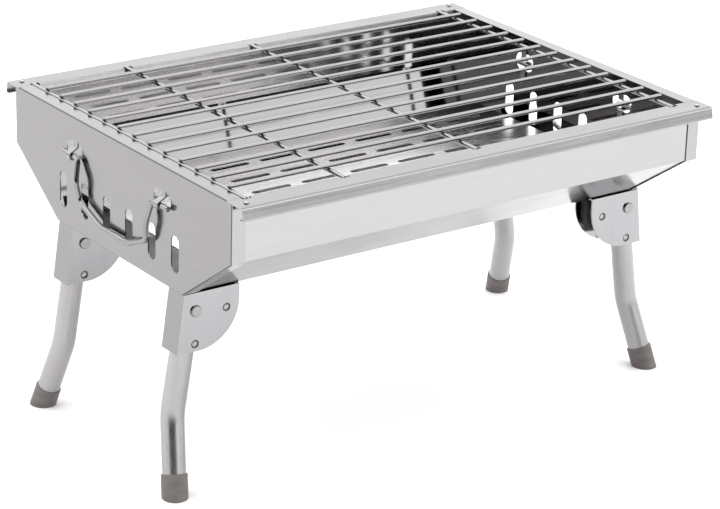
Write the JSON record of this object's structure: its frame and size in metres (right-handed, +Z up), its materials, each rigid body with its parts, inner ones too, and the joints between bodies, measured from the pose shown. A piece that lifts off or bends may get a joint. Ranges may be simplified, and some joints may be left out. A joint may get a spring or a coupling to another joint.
{
  "type": "folding camp grill",
  "caption": "Stainless trough grill with a lift-off bar grate, vented end panels with wire bail handles, and rubber-footed tube legs that fold under it.",
  "frame": {"origin": "on the floor, below the centre of the fire box", "axes": "+X along the fire box, -Y its front, +Z up"},
  "size_m": [0.449, 0.317, 0.2353],
  "materials": {
    "satin_sheet": "satin brushed stainless sheet",
    "polished_sheet": "bright mirror-rolled stainless sheet",
    "rail_sheet": "fine brushed stainless sheet",
    "bracket_sheet": "bright annealed stainless sheet",
    "leg_tube": "polished tube",
    "bright_wire": "bright plated wire",
    "rivet": "satin rivet",
    "foot_rubber": "matt grey-brown moulded rubber"
  },
  "bodies": {
    "firebox": {"end_panel_left": "satin_sheet", "end_panel_right": "satin_sheet", "front_wall": "polished_sheet", "back_wall": "polished_sheet", "bottom_plate": "polished_sheet", "front_rail": "rail_sheet", "back_rail": "rail_sheet", "rail_rivets": "rivet", "bracket_rivets": "rivet", "pivot_rivets": "rivet", "handle_clips_left": "bright_wire", "handle_clips_right": "bright_wire", "leg_bracket_front_left": "bracket_sheet", "leg_bracket_front_right": "bracket_sheet", "leg_bracket_back_left": "bracket_sheet", "leg_bracket_back_right": "bracket_sheet"},
    "grate": {"grate_bars": "bright_wire", "grate_cross_wires": "bright_wire"},
    "charcoal_tray": {"charcoal_plate": "polished_sheet"},
    "leg_front_left": {"leg_tube_front_left": "leg_tube", "foot_cap_front_left": "foot_rubber"},
    "leg_front_right": {"leg_tube_front_right": "leg_tube", "foot_cap_front_right": "foot_rubber"},
    "leg_back_left": {"leg_tube_back_left": "leg_tube", "foot_cap_back_left": "foot_rubber"},
    "leg_back_right": {"leg_tube_back_right": "leg_tube", "foot_cap_back_right": "foot_rubber"},
    "bail_left": {"handle_left": "bright_wire"},
    "bail_right": {"handle_right": "bright_wire"}
  },
  "joints": [
    {"name": "grate_lift", "type": "slide", "parent": "firebox", "child": "grate", "axis": [0, 0, 1], "range_m": [0, 0.25]},
    {"name": "charcoal_plate_lift", "type": "slide", "parent": "firebox", "child": "charcoal_tray", "axis": [0, 0, 1], "range_m": [0, 0.05]},
    {"name": "leg_fold_front_left", "type": "hinge", "parent": "firebox", "child": "leg_front_left", "pos_m": [-0.194, -0.075, 0.1325], "axis": [0, -1, 0], "range_deg": [0, 99]},
    {"name": "leg_fold_front_right", "type": "hinge", "parent": "firebox", "child": "leg_front_right", "pos_m": [0.194, -0.075, 0.1325], "axis": [0, 1, 0], "range_deg": [0, 99]},
    {"name": "leg_fold_back_left", "type": "hinge", "parent": "firebox", "child": "leg_back_left", "pos_m": [-0.194, 0.075, 0.1325], "axis": [0, -1, 0], "range_deg": [0, 99]},
    {"name": "leg_fold_back_right", "type": "hinge", "parent": "firebox", "child": "leg_back_right", "pos_m": [0.194, 0.075, 0.1325], "axis": [0, 1, 0], "range_deg": [0, 99]},
    {"name": "handle_swing_left", "type": "hinge", "parent": "firebox", "child": "bail_left", "pos_m": [-0.2076, 0, 0.2045], "axis": [0, 1, 0], "range_deg": [0, 140]},
    {"name": "handle_swing_right", "type": "hinge", "parent": "firebox", "child": "bail_right", "pos_m": [0.2076, 0, 0.2045], "axis": [0, -1, 0], "range_deg": [0, 140]}
  ]
}
